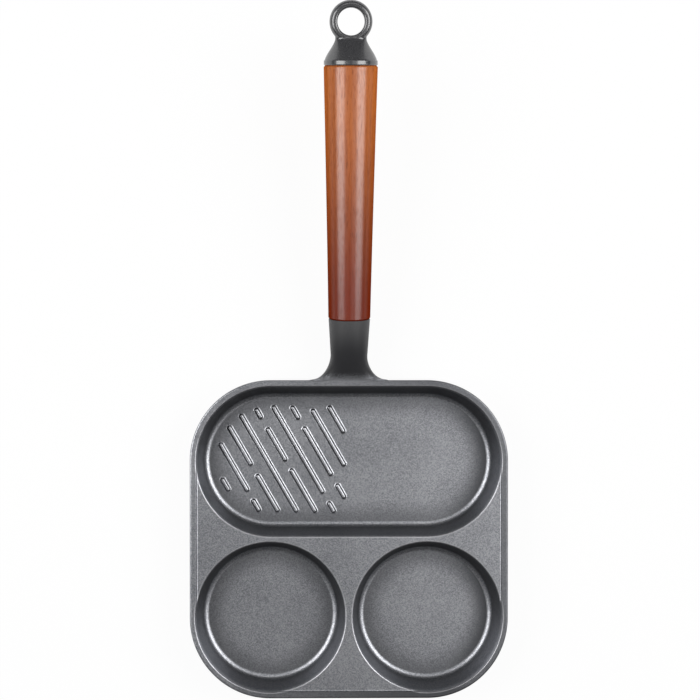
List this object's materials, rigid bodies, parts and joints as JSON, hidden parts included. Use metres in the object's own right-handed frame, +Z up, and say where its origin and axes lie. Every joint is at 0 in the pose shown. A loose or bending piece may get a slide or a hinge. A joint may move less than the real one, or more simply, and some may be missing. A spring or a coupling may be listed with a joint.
{
  "type": "breakfast pan",
  "caption": "Cast iron pan with a ribbed oblong compartment, two egg cups, a flared neck and a long turned wooden handle that ends in a hanging ring.",
  "frame": {"origin": "centre of the oblong compartment's foot, in the plane of the hob", "axes": "+X runs to the right across the pan, +Y from the egg cups towards the handle, +Z up from the hob"},
  "size_m": [0.195, 0.4219, 0.0649],
  "materials": {
    "cast_pan": "fine-grained matte, slightly glossier on the walls",
    "grip_wood": "satin lacquer, lighter towards the end cap",
    "cast_cap": "black satin enamel",
    "rod_steel": "plain threaded rod"
  },
  "bodies": {
    "root": {"pan_casting": "cast_pan", "wooden_grip": "grip_wood", "end_cap": "cast_cap", "tie_rod": "rod_steel"}
  },
  "joints": []
}
